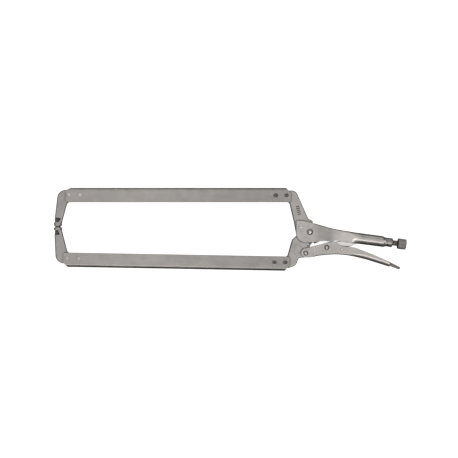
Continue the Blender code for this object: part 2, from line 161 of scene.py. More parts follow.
class Finish:
    """A procedural material being written."""

    def __init__(self, name):
        self.material = bpy.data.materials.new(name)
        self.material.use_nodes = True
        self.tree = self.material.node_tree
        self.surface = self.tree.nodes["Principled BSDF"]
        self.place = self.node("ShaderNodeTexCoord", output="Object")

    def node(self, kind, settings=None, sockets=None, output=0):
        """Adds a node: settings first, then each socket's value or link. Returns an output."""
        made = self.tree.nodes.new(kind)
        for key, value in (settings or {}).items():
            setattr(made, key, value)
        for key, value in (sockets or {}).items():
            self.feed(made.inputs[key], value)
        return Term(self, made.outputs[output])

    def feed(self, socket, value):
        if isinstance(value, Term):
            self.tree.links.new(value.socket, socket)
        else:
            socket.default_value = value

    def set(self, **values):
        for key, value in values.items():
            self.feed(self.surface.inputs[key.replace("_", " ")], value)

    def stretched(self, across):
        return self.node("ShaderNodeMapping", {"vector_type": "POINT"},
                         {"Vector": self.place, "Scale": across})

    def grain(self, size, detail=3.0, stretch=(1, 1, 1)):
        """Noise from 0 to 1 whose blobs are about size metres across."""
        sockets = {"Vector": self.stretched(stretch), "Scale": 1 / size, "Detail": detail,
                   "Roughness": 0.55}
        return self.node("ShaderNodeTexNoise", {"noise_dimensions": "3D"}, sockets)

    def mix(self, share, first, second):
        """Colour mix; share is 0 for first, 1 for second, and may run past either."""
        settings = {"data_type": "RGBA", "clamp_factor": False}
        return self.node("ShaderNodeMix", settings, {0: share, 6: first, 7: second}, output=2)

    def bump(self, height, depth, strength=1.0):
        sockets = {"Height": height, "Distance": depth, "Strength": strength}
        self.set(Normal=self.node("ShaderNodeBump", sockets=sockets))


def shade(colour, factor):
    return (*(channel * factor for channel in colour), 1.0)


def plated_steel(name, colour, roughness, brush=(1, 1, 1), pitting=0.3, tarnish=0.18, painted_light_bands=(),
                 underside=0.0):
    """Satin nickel plate: mottled, faintly brushed or pitted, with painted shade where its corners and
    crevices are occluded.

    Each band is (from, to, fade, gain) along X in metres: a stripe of painted highlight where gain is
    positive and of painted shade where it is negative.
    The underside share darkens what faces -Y as painted shade, by that share.
    """
    f = Finish(name)
    cloud = f.grain(0.018, 4.0)
    fine = f.grain(0.0011, 3.0, brush)
    speck = f.grain(0.0004, 2.0)
    tone = (cloud * 0.7 + fine * 0.3).above(0.35, 0.3)
    # painted light: each band lightens or darkens the tone in a stripe across X
    if painted_light_bands:
        along = f.node("ShaderNodeSeparateXYZ", sockets={0: f.place})
        for start, end, fade, gain in painted_light_bands:
            tone = tone + (along.above(start, fade) - along.above(end, fade)) * gain
    base = f.mix(tone, shade(colour, 1 - tarnish / 2), shade(colour, 1 + tarnish / 2))
    # painted shade: what faces -Y is darkened in the base colour
    if underside:
        facing = f.node("ShaderNodeTexCoord", output="Normal")
        sideways = f.node("ShaderNodeSeparateXYZ", sockets={0: facing}, output=1)
        base = f.mix((0 - sideways).above(0.06, 0.4) * underside, base, shade(colour, 0.2))
    # painted shade: ambient occlusion darkens the base colour in corners, creases and round rivets as shade
    # would, and roughens it there
    crease = f.node("ShaderNodeAmbientOcclusion", {"samples": 8, "only_local": False},
                    {"Distance": 0.005}, output="AO")
    painted_crevice_shade = 1 - crease.above(0.42, 0.5)
    f.set(Base_Color=f.mix(painted_crevice_shade * 0.9, base, shade(colour, 0.22)), Metallic=1.0,
          Roughness=roughness + (cloud - 0.5) * 0.16 + (speck - 0.5) * 0.12 + painted_crevice_shade * 0.15)
    f.bump(fine * 0.6 + speck * 0.4, 0.00012, pitting)
    return f.material


def make_finishes():
    along = (0.04, 1, 1)
    # painted light: a shaded stripe and a highlight stripe on the handle, and the rails lighter towards
    # their left end
    handle_painted_light = ((0.440, 0.470, 0.014, -1.3), (0.482, 0.515, 0.014, 1.2))
    rail_painted_light = ((-0.5, 0.12, 0.25, 1.3),)
    return {
        "handle": plated_steel("plated_handle", (0.47, 0.445, 0.425), 0.34, brush=along,
                               painted_light_bands=handle_painted_light),
        "sheet": plated_steel("plated_sheet", (0.485, 0.459, 0.44), 0.36, brush=along, underside=0.3),
        "rail": plated_steel("plated_rail", (0.345, 0.327, 0.312), 0.40, brush=along, painted_light_bands=rail_painted_light,
                             underside=0.5),
        "forging": plated_steel("plated_forging", (0.42, 0.399, 0.381), 0.42, pitting=0.55),
        "bright": plated_steel("bright_link", (0.78, 0.755, 0.73), 0.30, brush=along, tarnish=0.08),
        "rivet": plated_steel("rivet_steel", (0.52, 0.49, 0.47), 0.30),
        "screw": plated_steel("screw_steel", (0.55, 0.52, 0.50), 0.38),
        "knob": plated_steel("knob_steel", (0.36, 0.34, 0.325), 0.34),
        # painted shadow: a near-black finish put on rims, the pad gap and stamped hollows where shade falls
        "painted_shadow": plated_steel("painted_shadow_black", (0.07, 0.065, 0.06), 0.5),
        "dark": plated_steel("dark_steel", (0.19, 0.175, 0.165), 0.40),
        "spring": plated_steel("spring_wire", (0.42, 0.40, 0.38), 0.36),
        # painted shade: a dark finish for rivet rings and jaw pockets, standing in for their shade and dark
        # reflections
        "recess": plated_steel("painted_shade_dark", (0.17, 0.155, 0.14), 0.62),
    }


# --- outlines -----------------------------------------------------------------------------------
def rounded(corners, step=6.0, least=0.0):
    """Closed outline from (x, y, fillet radius) corners; outward corners get at least that radius."""
    outline = []
    winding = sum(Vector(a[:2]).cross(Vector(b[:2])) for a, b in zip(corners, corners[1:] + corners[:1]))
    for index, (x, y, radius) in enumerate(corners):
        here = Vector((x, y))
        into = here - Vector(corners[index - 1][:2])
        out = Vector(corners[(index + 1) % len(corners)][:2]) - here
        if into.cross(out) * winding > 0 and into.angle(out) > 0.3:
            radius = max(radius, least)
        if radius == 0:
            outline.append(here)
            continue
        back = (Vector(corners[index - 1][:2]) - here).normalized()
        ahead = (Vector(corners[(index + 1) % len(corners)][:2]) - here).normalized()
        half = back.angle(ahead) / 2
        turn = math.pi - 2 * half
        side = 1 if back.cross(ahead) < 0 else -1
        centre = here + (back + ahead).normalized() * (radius / math.sin(half))
        spoke = here + back * (radius / math.tan(half)) - centre
        steps = max(1, math.ceil(math.degrees(turn) / step))
        outline += [centre + Matrix.Rotation(side * turn * i / steps, 2) @ spoke for i in range(steps + 1)]
    return [p for p, before in zip(outline, [outline[-1]] + outline) if (p - before).length > 0.02]


def smooth_line(stops):
    """A smooth curve through (x, value) stops, as a function of x."""
    def value(x):
        x = min(max(x, stops[0][0]), stops[-1][0])
        i = next(k for k in range(1, len(stops)) if x <= stops[k][0])
        (x0, y0), (x1, y1) = stops[i - 1], stops[i]
        before = stops[i - 2] if i > 1 else (x0, y0)
        after = stops[i + 1] if i + 1 < len(stops) else (x1, y1)
        slope0 = (y1 - before[1]) / (x1 - before[0])
        slope1 = (after[1] - y0) / (after[0] - x0)
        t = (x - x0) / (x1 - x0)
        span = x1 - x0
        return ((2 * t ** 3 - 3 * t ** 2 + 1) * y0 + (t ** 3 - 2 * t ** 2 + t) * slope0 * span
                + (3 * t ** 2 - 2 * t ** 3) * y1 + (t ** 3 - t ** 2) * slope1 * span)
    return value


def ease(x, start, end):
    t = min(max((x - start) / (end - start), 0), 1)
    return t * t * (3 - 2 * t)


# --- meshes -------------------------------------------------------------------------------------
def finish_mesh(name, work, frame_matrix=IDENTITY, sharp=32):
    """Turn a bmesh in millimetres into a smooth-shaded object in metres."""
    work.transform(Matrix.Scale(MM, 4) @ frame_matrix)
    work.normal_update()
    bmesh.ops.recalc_face_normals(work, faces=work.faces)
    mesh = bpy.data.meshes.new(name)
    work.to_mesh(mesh)
    work.free()
    mesh.shade_smooth()
    mesh.set_sharp_from_angle(angle=math.radians(sharp))
    piece = bpy.data.objects.new(name, mesh)
    bpy.context.scene.collection.objects.link(piece)
    return piece


def prism(outline, low, high):
    work = bmesh.new()
    base = work.faces.new([work.verts.new((p.x, p.y, low)) for p in outline])
    grown = bmesh.ops.extrude_face_region(work, geom=[base])["geom"]
    lifted = [v for v in grown if isinstance(v, bmesh.types.BMVert)]
    bmesh.ops.translate(work, verts=lifted, vec=(0, 0, high - low))
    return work


def inset(outline, distance):
    """The anticlockwise outline moved inwards by distance."""
    count = len(outline)
    moved = []
    for i, here in enumerate(outline):
        before = (here - outline[i - 1]).normalized()
        after = (outline[(i + 1) % count] - here).normalized()
        inward = Vector((-before.y - after.y, before.x + after.x)).normalized()
        lean = max(inward.dot(Vector((-before.y, before.x))), 0.5)
        moved.append(here + inward * (distance / lean))
    return moved


def slab(name, corners, half, edge=0.8, segments=4, flash=0.0, spare=0.5):
    """Plate between z = -half and half with rounded rims; flash is a forging's parting ridge.

    Outward corners keep a radius of edge + spare, so the rims never fold over themselves.
    """
    outline = rounded(corners, least=edge + spare)
    area = sum(a.cross(b) for a, b in zip(outline, outline[1:] + outline[:1]))
    if area < 0:
        outline.reverse()
    side = [(edge * (1 - math.sin(t)), half - edge * (1 - math.cos(t)))
            for t in (math.pi / 2 * i / segments for i in range(segments + 1))]
    if flash:
        side += [(0, 0.55), (-flash, 0.3)]
    levels = side + [(depth, -z) for depth, z in reversed(side)]
    work = bmesh.new()
    rows = [[work.verts.new((p.x, p.y, z)) for p in inset(outline, depth)] for depth, z in levels]
    grid_faces(work, rows, closed=True)
    work.faces.new(rows[0])
    work.faces.new(rows[-1])
    return finish_mesh(name, work)


def grid_faces(work, rows, closed=False):
    """Quads between rows of vertices; closed joins each row's last vertex to its first."""
    columns = len(rows[0])
    for row, after in zip(rows, rows[1:]):
        for i in range(columns if closed else columns - 1):
            j = (i + 1) % columns
            work.faces.new((row[i], row[j], after[j], after[i]))


def lathe(name, profile, frame_matrix=IDENTITY, sides=64, ring=False):
    """Solid turned about the frame's Z axis from (radius, height) points."""
    work = bmesh.new()
    rows = []
    for radius, height in profile:
        if radius == 0:
            rows.append([work.verts.new((0, 0, height))] * sides)
        else:
            rows.append([work.verts.new((radius * math.cos(2 * math.pi * i / sides),
                                         radius * math.sin(2 * math.pi * i / sides), height))
                         for i in range(sides)])
    pairs = list(zip(rows, rows[1:]))
    if ring:
        pairs.append((rows[-1], rows[0]))
    for row, after in pairs:
        for i in range(sides):
            j = (i + 1) % sides
            corners = list(dict.fromkeys((row[i], row[j], after[j], after[i])))
            work.faces.new(corners)
    return finish_mesh(name, work, frame_matrix, sharp=40)


def wire(name, path, radius, sides=12):
    """Round wire along a path, with closed ends."""
    work = bmesh.new()
    rows = []
    side = Vector((0, 0, 1))
    for i, point in enumerate(path):
        run = (path[min(i + 1, len(path) - 1)] - path[max(i - 1, 0)]).normalized()
        side = (side - run * side.dot(run)).normalized()
        lift = run.cross(side)
        rows.append([work.verts.new(point + (side * math.cos(2 * math.pi * k / sides)
                                             + lift * math.sin(2 * math.pi * k / sides)) * radius)
                     for k in range(sides)])
    grid_faces(work, rows, closed=True)
    work.faces.new(rows[0])
    work.faces.new(rows[-1])
    return finish_mesh(name, work)


def bake_modifiers(piece):
    bpy.context.view_layer.update()
    evaluated = piece.evaluated_get(bpy.context.evaluated_depsgraph_get())
    mesh = bpy.data.meshes.new_from_object(evaluated)
    piece.modifiers.clear()
    piece.data = mesh
    return piece


def crisp(piece, sharp=30):
    """Keep flat faces flat next to rounded edges."""
    piece.data.set_sharp_from_angle(angle=math.radians(sharp))
    change = piece.modifiers.new("crisp", "WEIGHTED_NORMAL")
    change.keep_sharp = True
    change.weight = 100
    return bake_modifiers(piece)


def carve(piece, tool, operation="DIFFERENCE"):
    """Boolean with a helper solid that is then removed."""
    change = piece.modifiers.new("carve", "BOOLEAN")
    change.operation = operation
    change.solver = "EXACT"
    change.object = tool
    bake_modifiers(piece)
    bpy.data.objects.remove(tool, do_unlink=True)
    return piece


def cutter(outline, low, high):
    return finish_mesh("cutter", prism(outline, low, high))


def soften(piece, width, segments=2, angle=38):
    """Break every sharp edge."""
    change = piece.modifiers.new("soften", "BEVEL")
    change.width = width * MM
    change.segments = segments
    change.limit_method = "ANGLE"
    change.angle_limit = math.radians(angle)
    return crisp(bake_modifiers(piece))


def fit(piece, body, slot, material, *nodes):
    """Give a piece its finish and its body, and hide the CAD nodes it stands for."""
    piece.data.materials.clear()
    piece.data.materials.append(material)
    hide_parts(*nodes)
    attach(piece, body)
    return piece


def accent(piece, material, picks):
    """Give the faces that picks accepts a second finish."""
    piece.data.materials.append(material)
    for face in piece.data.polygons:
        if picks(face):
            face.material_index = len(piece.data.materials) - 1
    return piece


# --- rails --------------------------------------------------------------------------------------
def rail_frames():
    """Upper rail along +X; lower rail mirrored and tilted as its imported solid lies."""
    low, high = node_box("lower_rail")
    upper = Matrix.Translation((RAIL_LOW.x, RAIL_LOW.y, 0))
    lower = (Matrix.Translation((low.x + 0.4, high.y, 0)) @ Matrix.Rotation(-LOWER_TILT, 4, "Z")
             @ Matrix.Diagonal((1, -1, 1, 1)))
    return upper, lower


def rail(name, body, placed, front, clip_front, material):
    """Channel folded along its outer edge, corners clipped, open towards the throat.

    front is where the sheet starts; clip_front the length and depth clipped off that corner.
    """
    length = RAIL_HIGH.x - RAIL_LOW.x
    top = RAIL_HIGH.y - RAIL_LOW.y
    half = HALF_WIDTH
    wall = half - SHEET
    section = rounded([(-half, 0, 0.5), (-half, top, 5.2), (half, top, 5.2), (half, 0, 0.5),
                       (wall, 0, 0.5), (wall, top - SHEET, 3), (-wall, top - SHEET, 3),
                       (-wall, 0, 0.5)], step=10)
    stand_up = Matrix(((0, 0, 1, 0), (0, 1, 0, 0), (-1, 0, 0, 0), (0, 0, 0, 1)))
    piece = finish_mesh(name, prism(section, front, length), placed @ stand_up)
    along, down = clip_front
    clips = ([(-2, -down - 1), (front, -down - 1), (front + 0.8, -down), (front + along, 0),
              (front + along, 2), (-2, 2)],
             [(-2, -9.0), (0, -9.0), (2.0, -7.6), (4.2, -5.2), (8.2, 0), (8.2, 2), (-2, 2)])
    for end, direction, clip in ((0, 1, clips[0]), (length, -1, clips[1])):
        corner = [(placed @ Vector((end + direction * x, top + y, 0))).to_2d() for x, y in clip]
        carve(piece, cutter(corner, -20, 20))
    soften(piece, 0.45)
    return fit(piece, body, "plated_sheet", material, name)


# --- rivets -------------------------------------------------------------------------------------
def rivet_head(profile, reach):
    """Both heads and the shank as one turned solid from an outer profile (radius, rise)."""
    top = [(radius, reach + rise) for radius, rise in profile]
    return [(radius, -height) for radius, height in reversed(top)] + top


def rivet(node, body, profile, reach, material):
    centre = node_centre(node)
    shank = 2.6
    points = rivet_head([(shank, -0.2)] + profile, reach)
    piece = lathe(node, points, Matrix.Translation((centre.x, centre.y, 0)), sides=48)
    return fit(piece, body, "rivet_steel", material, node)


def paint_rivet_shade(piece, node, inner, outer, finishes):
    """Paint shade on a rivet between two radii, standing in for the shade and dark reflection of its rim or
    dish.
    """
    centre = node_centre(node) * MM
    return accent(piece, finishes["recess"],
                  lambda face: inner * MM < (face.center - centre).to_2d().length < outer * MM)


def rail_rivets(finishes):
    low_dome = [(4.1, -0.1), (4.05, 0.1), (3.7, 0.2), (3.2, 0.24), (1.6, 0.27), (0, 0.28)]
    ringed = [(4.2, -0.1), (4.15, 0.3), (3.95, 0.78), (3.6, 0.84), (3.3, 0.66), (2.4, 0.12), (1.7, 0.08),
              (1.0, 0.2), (0, 0.22)]
    for body, prefix in (("fixed_frame", "upper"), ("moving_jaw", "lower")):
        for index in (1, 2, 3, 4):
            name = f"{prefix}_rail_rivet_{index}"
            profile, inner, outer = (low_dome, 3.74, 4.3) if index < 3 else (ringed, 0.0, 3.5)
            piece = rivet(name, body, profile, HALF_WIDTH, finishes["rivet"])
            paint_rivet_shade(piece, name, inner, outer, finishes)


def pivot_rivets(finishes):
    """Set rivets: a rolled rim round a dished middle with a small centre dimple."""
    def set_head(size):
        shares = ((1, -0.1), (0.99, 0.35), (0.94, 0.9), (0.89, 1.05), (0.84, 0.95), (0.66, 0.06),
                  (0.62, 0.03), (0.55, 0.12), (0.4, 0.35), (0.2, 0.5), (0, 0.52))
        return [(size * share, rise) for share, rise in shares]
    steel = finishes["rivet"]
    for node, body, size, reach in (("jaw_pivot_rivet", "fixed_frame", 5.45, HALF_WIDTH),
                                    ("lever_pivot_rivet", "lever", 4.3, HALF_WIDTH + 0.3),
                                    ("link_pivot_rivet", "lever", 4.3, HALF_WIDTH - 0.4)):
        piece = rivet(node, body, set_head(size), reach, steel)
        paint_rivet_shade(piece, node, size * 0.58, size * 0.85, finishes)
    pin = [(2.6, -0.1), (2.5, 0.2), (2.1, 0.45), (1.5, 0.5), (0.9, 0.2), (0, 0.1)]
    rivet("release_lever_pin", "lever", pin, HALF_WIDTH - 0.4, steel)
    flush = [(3.6, -0.1), (3.5, 0.06), (3.2, 0.16), (0, 0.2)]
    rivet("fixed_jaw_rivet", "fixed_frame", flush, HALF_WIDTH, steel)


# --- forged jaws --------------------------------------------------------------------------------
def forged(name, corners, edge=2.0):
    return slab(name, corners, FORGING / 2, edge, segments=5, flash=0.25)


def tip_pad(pad_face, backing, height):
    """Round button at the arm's end, flat on both cheeks; backing is +1 or -1 along Y."""
    profile = [(0, 0), (3.9, 0), (4.4, 0.15), (5.9, 1.2), (6.6, 2.0), (6.9, 2.9), (6.9, height - 1.2),
               (6.6, height - 0.5), (6.0, height), (0, height)]
    turn = Matrix.Rotation(math.radians(-90 * backing), 4, "X")
    pad = lathe("pad", profile, Matrix.Translation((0, pad_face, 0)) @ turn, sides=48)
    flat = 5.6
    beyond = [Vector(corner) for corner in ((-20, -20), (20, -20), (20, 20), (-20, 20))]
    for side in (-1, 1):
        low, high = sorted((side * flat, side * 20))
        carve(pad, cutter(beyond, low, high))
    return pad


def jaw_tip(name, body, corners, pad_face, backing, height, pocket, finishes):
    """Forged arm with a pocket on each cheek behind its round pad."""
    piece = forged(name, corners)
    cheek = 2.5
    for side in (-1, 1):
        low, high = sorted((side * cheek, side * 20))
        carve(piece, cutter(rounded(pocket), low, high))
    carve(piece, tip_pad(pad_face, backing, height), "UNION")
    crisp(piece)
    fit(piece, body, "plated_forging", finishes["forging"], name)
    # painted shade: the pocket floors get the dark finish, standing in for the shade in the pockets
    low, high = min(p[1] for p in pocket) * MM, max(p[1] for p in pocket) * MM
    accent(piece, finishes["recess"], lambda face: low < face.center.y < high
           and abs(face.center.z) < (cheek + 0.3) * MM and abs(face.normal.z) > 0.5)
    # painted shadow: the pad's contact face and chamfer get the near-black finish, standing in for the
    # shaded gap between the pads
    chamfer = 1.1
    return accent(piece, finishes["painted_shadow"], lambda face: face.normal.y * backing < -0.5
                  and abs(face.center.y - pad_face * MM) < chamfer * MM)


def upper_jaw_tip(finishes):
    corners = [(52.0, 62.8, 2), (0.7, 62.6, 15), (-5.2, 12.0, 0), (-4.6, 4.0, 0), (6.0, 4.0, 0),
               (16.4, 42.3, 8), (52.0, 42.3, 2)]
    pocket = [(-9.0, 15.2, 0), (5.9, 13.6, 0.5), (2.1, 7.1, 0.5), (-9.0, 7.1, 0)]
    return jaw_tip("upper_jaw_tip", "fixed_frame", corners, -PAD_ADVANCE, 1, 6.2 + PAD_ADVANCE, pocket,
                   finishes)


def lower_jaw_tip(finishes):
    corners = [(52.0, -47.0, 2), (16.4, -46.4, 6), (6.2, -6.2, 0), (-4.6, -6.2, 0), (-5.5, -16.0, 0),
               (-3.3, -64.2, 14.5), (52.0, -66.4, 2)]
    pocket = [(-9.0, -7.3, 0), (0.8, -7.3, 0.5), (4.0, -15.0, 0.5), (-9.0, -15.8, 0)]
    return jaw_tip("lower_jaw_tip", "moving_jaw", corners, PAD_ADVANCE - PAD_GAP, -1, 5.1 + PAD_ADVANCE,
                   pocket, finishes)


def fixed_jaw(finishes):
    corners = [(362.0, 61.9, 2), (362.0, 42.3, 2), (400.6, 42.3, 6.5), (408.9, 7.0, 20),
               (413.4, -16.4, 0.5),
               (426.5, -12.6, 0), (441.4, -5.0, 0), (441.4, 8.6, 1), (433.8, 12.4, 1.5), (412.0, 61.2, 10)]
    piece = forged("fixed_jaw", corners)
    boss = node_box("moving_jaw")[1].x - JAW_PIVOT.x + 0.4
    around = [Vector((JAW_PIVOT.x + boss * math.cos(a), JAW_PIVOT.y + boss * math.sin(a)))
              for a in (2 * math.pi * i / 64 for i in range(64))]
    carve(piece, cutter(around, -20, 20))
    stamp_mark(piece)
    crisp(piece)
    fit(piece, "fixed_frame", "plated_forging", finishes["forging"], "fixed_jaw")
    # painted shade: the floor of the stamped mark gets the near-black finish, standing in for the shade in
    # its hollow
    floor = (FORGING / 2 - MARK_DEPTH) * MM
    return accent(piece, finishes["painted_shadow"], lambda face: abs(face.center.z - floor) < 0.02 * MM)


def stamp_mark(piece):
    """A generic stamped mark: a row of slanted bars down the jaw."""
    floor = FORGING / 2 - MARK_DEPTH
    start, end, slant = Vector((414.9, 33.6)), Vector((418.3, 20.6)), Vector((0.95, 0.31))
    lengths, thick = (5.2, 6.4, 5.4, 6.0, 5.0), 0.75
    for index, length in enumerate(lengths):
        middle = start.lerp(end, index / (len(lengths) - 1))
        side, up = slant * length / 2, Vector((-slant.y, slant.x)) * thick
        bar = [middle - side - up, middle + side - up, middle + side + up, middle - side + up]
        carve(piece, cutter(bar, floor, FORGING))


def moving_jaw(finishes):
    boss_right = node_box("moving_jaw")[1].x
    boss = boss_right - JAW_PIVOT.x
    corners = [(413.1, -17.2, 0.5), (405.6, -23.8, 9), (399.3, -46.0, 0), (397.6, -53.6, 6),
               (361.0, -53.3, 2),
               (361.0, -73.0, 2), (400.5, -72.6, 4), (411.6, -68.4, 8), (417.6, -55.0, 4),
               (435.9, -53.6, 7), (435.9, -36.0, 2), (439.4, -30.0, 1.5), (439.4, -20.5, 3),
               (boss_right, -16.0, 4), (boss_right, JAW_PIVOT.y + boss, boss),
               (JAW_PIVOT.x - boss, JAW_PIVOT.y + boss, boss * 0.96), (426.6, -13.2, 0)]
    piece = forged("moving_jaw", corners)
    recess = rounded([(431.0, -35.0, 1), (448.0, -35.0, 0), (448.0, -22.0, 0), (434.0, -24.0, 2)])
    step = rounded([(409.4, -34.8, 2.5), (414.4, -31.2, 1), (424.6, -38.4, 1), (429.0, -42.0, 1),
                    (425.0, -46.6, 1), (419.9, -45.4, 0.5), (410.4, -50.0, 1), (408.8, -46.0, 2)])
    hook_hole = [Vector((433.8 + 1.5 * math.cos(a), -31.6 + 1.5 * math.sin(a)))
                 for a in (2 * math.pi * i / 24 for i in range(24))]
    for side in (-1, 1):
        low, high = sorted((side * 2.0, side * 20))
        carve(piece, cutter(recess, low, high))
        low, high = sorted((side * (FORGING / 2 - 0.6), side * 20))
        carve(piece, cutter(step, low, high))
    carve(piece, cutter(hook_hole, -20, 20))
    crisp(piece)
    return fit(piece, "moving_jaw", "plated_forging", finishes["forging"], "moving_jaw")


# --- pressed handles ----------------------------------------------------------------------------
def channel_half(lip, crest, half_width, bend, direction, crease=20, depth=1.0):
    """Half section of a folded channel as (y, z), from its lip over the bend to the centre line.

    The wall meets the bend at a crease of that many degrees, as pressed sheet does. The bend reaches
    depth times as far down the wall as it does across.
    """
    start = math.radians(crease)
    wall_end = crest - direction * bend * depth * (1 - math.sin(start))
    wall = [(lip + (wall_end - lip) * i / 8, half_width) for i in range(8)]
    arc = [(crest - direction * bend * depth * (1 - math.sin(a)),
            half_width - bend * (math.cos(start) - math.cos(a)))
           for a in (start + (math.pi / 2 - start) * i / 8 for i in range(9))]
    flat = [(crest, arc[-1][1] * (1 - i / 3)) for i in (1, 2, 3)]
    return wall + arc + flat


def tube_half(centre, radius, direction, seam=3.0):
    """Half section of a closed tube with the same point count, from its seam to its crest."""
    angles = [-90 + seam + (105 - seam) * i / 8 for i in range(8)]
    angles += [15 + 60 * i / 8 for i in range(9)] + [80, 85, 90]
    lift = radius * 1.0085
    return [(centre + direction * lift * math.sin(math.radians(a)), radius * math.cos(math.radians(a)))
            for a in angles]


def shell(name, stations, section, open_crest, rim):
    """Sheet lofted through half sections mirrored about z = 0, thickened inwards, its rim rounded."""
    work = bmesh.new()
    rows = []
    for x in stations:
        half = section(x)
        right = [work.verts.new((x, y, z)) for y, z in half]
        left = [work.verts.new((x, y, -z)) for y, z in reversed(half[:-1])]
        rows.append(right + left)
    grid_faces(work, rows)
    gone = [f for f in work.faces if open_crest(f.calc_center_median())]
    bmesh.ops.delete(work, geom=gone, context="FACES")
    work.normal_update()
    bmesh.ops.recalc_face_normals(work, faces=work.faces)
    outward = sum(f.normal.z * f.calc_center_median().z * f.calc_area() for f in work.faces)
    if outward < 0:
        bmesh.ops.reverse_faces(work, faces=work.faces)
    work.transform(Matrix.Scale(MM, 4))
    mesh = bpy.data.meshes.new(name)
    work.to_mesh(mesh)
    work.free()
    mesh.shade_smooth()
    piece = bpy.data.objects.new(name, mesh)
    bpy.context.scene.collection.objects.link(piece)
    thicken = piece.modifiers.new("sheet", "SOLIDIFY")
    thicken.thickness = SHEET * MM
    thicken.offset = -1
    thicken.use_even_offset = True
    thicken.use_quality_normals = True
    bake_modifiers(piece)
    return soften(piece, rim, segments=3, angle=50)


def spaced(start, end, step):
    count = max(1, round((end - start) / step))
    return [start + (end - start) * i / count for i in range(count)]


def paint_rim_shadow(piece, before, finishes):
    """The rim of the cheeks in front of a fold gets painted shadow: the near-black finish stands in for the
    shaded line along that edge.
    """
    return accent(piece, finishes["painted_shadow"], lambda face: abs(face.normal.z) < 0.95
                  and face.center.x < before * MM
                  and abs(face.center.z) > (HALF_WIDTH - SHEET) * MM)


def fixed_handle(finishes):
    """Two cheeks round the jaws, folded over into a channel and closed to a tube for the screw."""
    front = node_box("fixed_handle")[0].x
    nose = 16.0
    crest = smooth_line([(front, 9.7), (424.7, 9.0), (436.8, 6.3), (454.2, 1.7), (471.5, -3.3),
                         (488.9, -6.9), (506.2, -9.7), (523.5, -12.3)])
    belly = smooth_line([(428.9, -28.3), (437.0, -28.2), (447.2, -27.4), (457.6, -26.0), (471.5, -25.7),
                         (483.0, -25.4), (497.3, -26.7), (505.3, -28.0), (512.0, -29.0), (518.0, -31.2),
                         (523.5, -32.2)])
    fold_from = 442.0
    tube_radius = 9.4
    neck = smooth_line([(560.0, 9.4), (563.2, 9.3), (565.2, 8.6), (566.8, 8.0), (568.2, 7.8)])

    def axis_height(x):
        return SCREW_ORIGIN.y + (x - SCREW_ORIGIN.x) * SCREW_AXIS.y / SCREW_AXIS.x

    def section(x):
        radius = tube_radius if x < 560 else neck(x)
        tube = tube_half(axis_height(x), radius, 1)
        if x > 527:
            return tube
        lip = belly(x)
        if x < front + nose:
            lip = belly(front + nose) + nose - math.sqrt(nose ** 2 - (front + nose - x) ** 2)
        bend = 0.5 + 3.3 * ease(x, fold_from - 2, fold_from + 6) + 3.0 * ease(x, 480, 522)
        channel = channel_half(lip, crest(x), HALF_WIDTH + 0.7 * ease(x, 490, 515), bend, 1)
        share = ease(x, 506, 524)
        return [(y0 + (y1 - y0) * share, z0 + (z1 - z0) * share)
                for (y0, z0), (y1, z1) in zip(channel, tube)]

    stations = [front + nose * (1 - math.cos(math.radians(a))) for a in range(4, 90, 6)]
    stations[0] = front
    stations += spaced(front + nose, fold_from, 3) + spaced(fold_from, 500, 3) + spaced(500, 530, 1.5)
    stations += spaced(530, 560, 6) + spaced(560, 568.2, 0.8) + [568.2]
    piece = shell("fixed_handle", stations, section,
                  open_crest=lambda p: p.x < fold_from and abs(p.z) < HALF_WIDTH - 0.6, rim=1.5)
    fit(piece, "fixed_frame", "plated_sheet", finishes["handle"], "fixed_handle")
    return paint_rim_shadow(piece, fold_from, finishes)


def lever_handle(finishes):
    """Channel folded along its underside, with two ears round the moving jaw."""
    ear = 7.8
    left = LEVER_PIVOT.x - ear
    crest = smooth_line([(LEVER_PIVOT.x, LEVER_PIVOT.y - ear), (438.0, -54.2), (447.2, -52.2),
                         (454.2, -51.1),
                         (468.0, -49.8), (481.9, -49.2), (495.8, -50.1), (509.7, -52.2), (523.5, -55.4),
                         (537.4, -59.1), (551.2, -63.4), (574.0, -70.5)])
    lip = smooth_line([(LEVER_PIVOT.x, LEVER_PIVOT.y + ear), (436.8, -36.8), (443.8, -34.8), (457.6, -31.3),
                       (471.5, -28.2), (477.0, -27.1), (479.5, -27.6), (483.5, -31.4),
                       (487.5, -33.9), (493.0, -35.6),
                       (504.4, -36.2), (512.1, -36.7), (516.6, -38.0), (523.5, -40.6), (537.4, -46.0),
                       (551.2, -51.6), (574.0, -61.6)])
    fold_from = 440.5

    def section(x):
        top, bottom = lip(x), crest(x)
        if x < LEVER_PIVOT.x:
            reach = math.sqrt(max(ear ** 2 - (LEVER_PIVOT.x - x) ** 2, 0.01))
            top, bottom = LEVER_PIVOT.y + reach, LEVER_PIVOT.y - reach
        width = HALF_WIDTH + 0.3 - 0.9 * ease(x, 442.6, 446.4)
        bend = 0.5 + 2.8 * ease(x, fold_from - 1, fold_from + 5) + 2.8 * ease(x, 495, 530)
        rounding = ease(x, 488, 525)
        bend = min(bend, (top - bottom) * 0.6)
        return channel_half(top, bottom, width, bend, -1, crease=34 - 26 * rounding,
                            depth=1 + 0.35 * rounding)

    stations = [left + ear * (1 - math.cos(math.radians(a))) for a in range(10, 90, 8)]
    stations += spaced(LEVER_PIVOT.x, fold_from, 3) + spaced(fold_from, 448, 0.75)
    stations += spaced(448, 472, 3) + spaced(472, 496, 1) + spaced(496, 574, 3) + [574.0]
    piece = shell("lever_handle", stations, section,
                  open_crest=lambda p: p.x < fold_from and abs(p.z) < HALF_WIDTH - 0.4, rim=1.0)
    fit(piece, "lever", "plated_sheet", finishes["sheet"], "lever_handle")
    return paint_rim_shadow(piece, fold_from, finishes)


